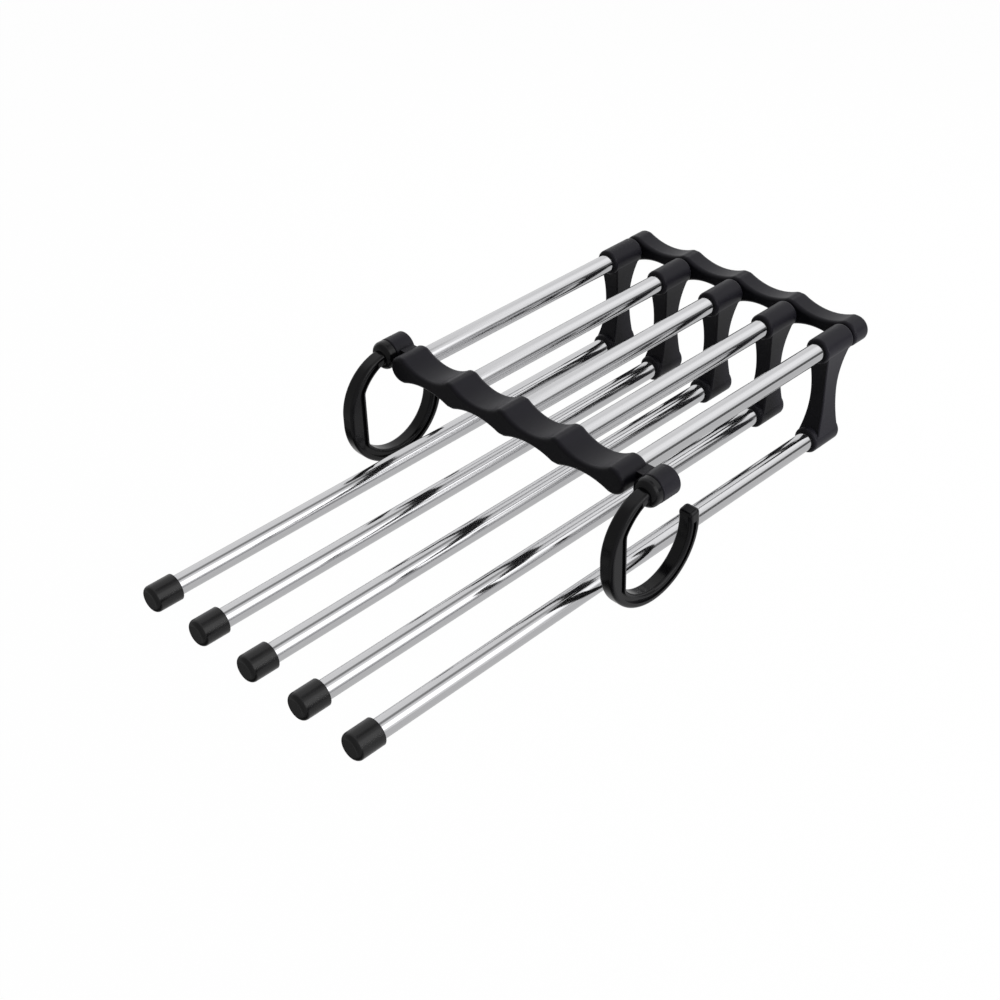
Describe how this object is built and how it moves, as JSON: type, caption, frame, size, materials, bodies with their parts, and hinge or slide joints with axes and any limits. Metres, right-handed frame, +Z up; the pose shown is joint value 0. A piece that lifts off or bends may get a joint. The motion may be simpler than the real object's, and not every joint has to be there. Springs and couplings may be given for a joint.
{
  "type": "multi-tier trouser hanger",
  "caption": "Trouser hanger rack: wavy strips joined by steel tubes, swing arms carrying long open-ended trouser rods with rubber caps, and swivelling end hooks for a closet rail.",
  "frame": {"origin": "axis of the closet rail seat, at the centre of the round inside of the hooks, halfway between the two hooks", "axes": "+X along the strips and the rail, from the left hook to the right hook; +Y from the capped free ends of the rods to the swing arms; +Z up"},
  "size_m": [0.191, 0.3505, 0.0696],
  "materials": {
    "satin_black_plastic": "satin moulded",
    "gloss_black_plastic": "semi-gloss moulded",
    "polished_steel": "polished",
    "black_rubber": "matt",
    "pin_steel": "turned"
  },
  "bodies": {
    "frame": {"hook_strip": "satin_black_plastic", "rear_strip": "satin_black_plastic", "upper_tube_1": "polished_steel", "upper_tube_2": "polished_steel", "upper_tube_3": "polished_steel", "upper_tube_4": "polished_steel", "upper_tube_5": "polished_steel"},
    "arm_1": {"swing_arm_1": "satin_black_plastic", "trouser_rod_1": "polished_steel", "end_cap_1": "black_rubber"},
    "arm_2": {"swing_arm_2": "satin_black_plastic", "trouser_rod_2": "polished_steel", "end_cap_2": "black_rubber"},
    "arm_3": {"swing_arm_3": "satin_black_plastic", "trouser_rod_3": "polished_steel", "end_cap_3": "black_rubber"},
    "arm_4": {"swing_arm_4": "satin_black_plastic", "trouser_rod_4": "polished_steel", "end_cap_4": "black_rubber"},
    "arm_5": {"swing_arm_5": "satin_black_plastic", "trouser_rod_5": "polished_steel", "end_cap_5": "black_rubber"},
    "pin_left": {"hook_pin_left": "pin_steel"},
    "hook_left": {"hook_left": "gloss_black_plastic"},
    "pin_right": {"hook_pin_right": "pin_steel"},
    "hook_right": {"hook_right": "gloss_black_plastic"}
  },
  "joints": [
    {"name": "arm_swing_1", "type": "hinge", "parent": "frame", "child": "arm_1", "pos_m": [-0.0708, 0.1569, 0.031], "axis": [0, -1, 0], "range_deg": [-56, 56]},
    {"name": "arm_swing_2", "type": "hinge", "parent": "frame", "child": "arm_2", "pos_m": [-0.0354, 0.1569, 0.031], "axis": [0, -1, 0], "range_deg": [-56, 56]},
    {"name": "arm_swing_3", "type": "hinge", "parent": "frame", "child": "arm_3", "pos_m": [0, 0.1569, 0.031], "axis": [0, -1, 0], "range_deg": [-56, 56]},
    {"name": "arm_swing_4", "type": "hinge", "parent": "frame", "child": "arm_4", "pos_m": [0.0354, 0.1569, 0.031], "axis": [0, -1, 0], "range_deg": [-56, 56]},
    {"name": "arm_swing_5", "type": "hinge", "parent": "frame", "child": "arm_5", "pos_m": [0.0708, 0.1569, 0.031], "axis": [0, -1, 0], "range_deg": [-56, 56]},
    {"name": "pin_turn_left", "type": "hinge", "parent": "frame", "child": "pin_left", "pos_m": [-0.088, 0, 0.031], "axis": [0, -1, 0], "range_deg": [-56, 56]},
    {"name": "hook_swivel_left", "type": "hinge", "parent": "pin_left", "child": "hook_left", "pos_m": [-0.088, 0, 0.031], "axis": [0, 1, 0], "range_deg": [0, 180]},
    {"name": "pin_turn_right", "type": "hinge", "parent": "frame", "child": "pin_right", "pos_m": [0.088, 0, 0.031], "axis": [0, -1, 0], "range_deg": [-56, 56]},
    {"name": "hook_swivel_right", "type": "hinge", "parent": "pin_right", "child": "hook_right", "pos_m": [0.088, 0, 0.031], "axis": [0, -1, 0], "range_deg": [0, 180]}
  ],
  "couplings": [
    {"joint": "arm_swing_1", "follows": "arm_swing_3", "ratio": 1},
    {"joint": "arm_swing_2", "follows": "arm_swing_3", "ratio": 1},
    {"joint": "arm_swing_4", "follows": "arm_swing_3", "ratio": 1},
    {"joint": "arm_swing_5", "follows": "arm_swing_3", "ratio": 1},
    {"joint": "pin_turn_left", "follows": "arm_swing_3", "ratio": 1},
    {"joint": "pin_turn_right", "follows": "arm_swing_3", "ratio": 1}
  ]
}
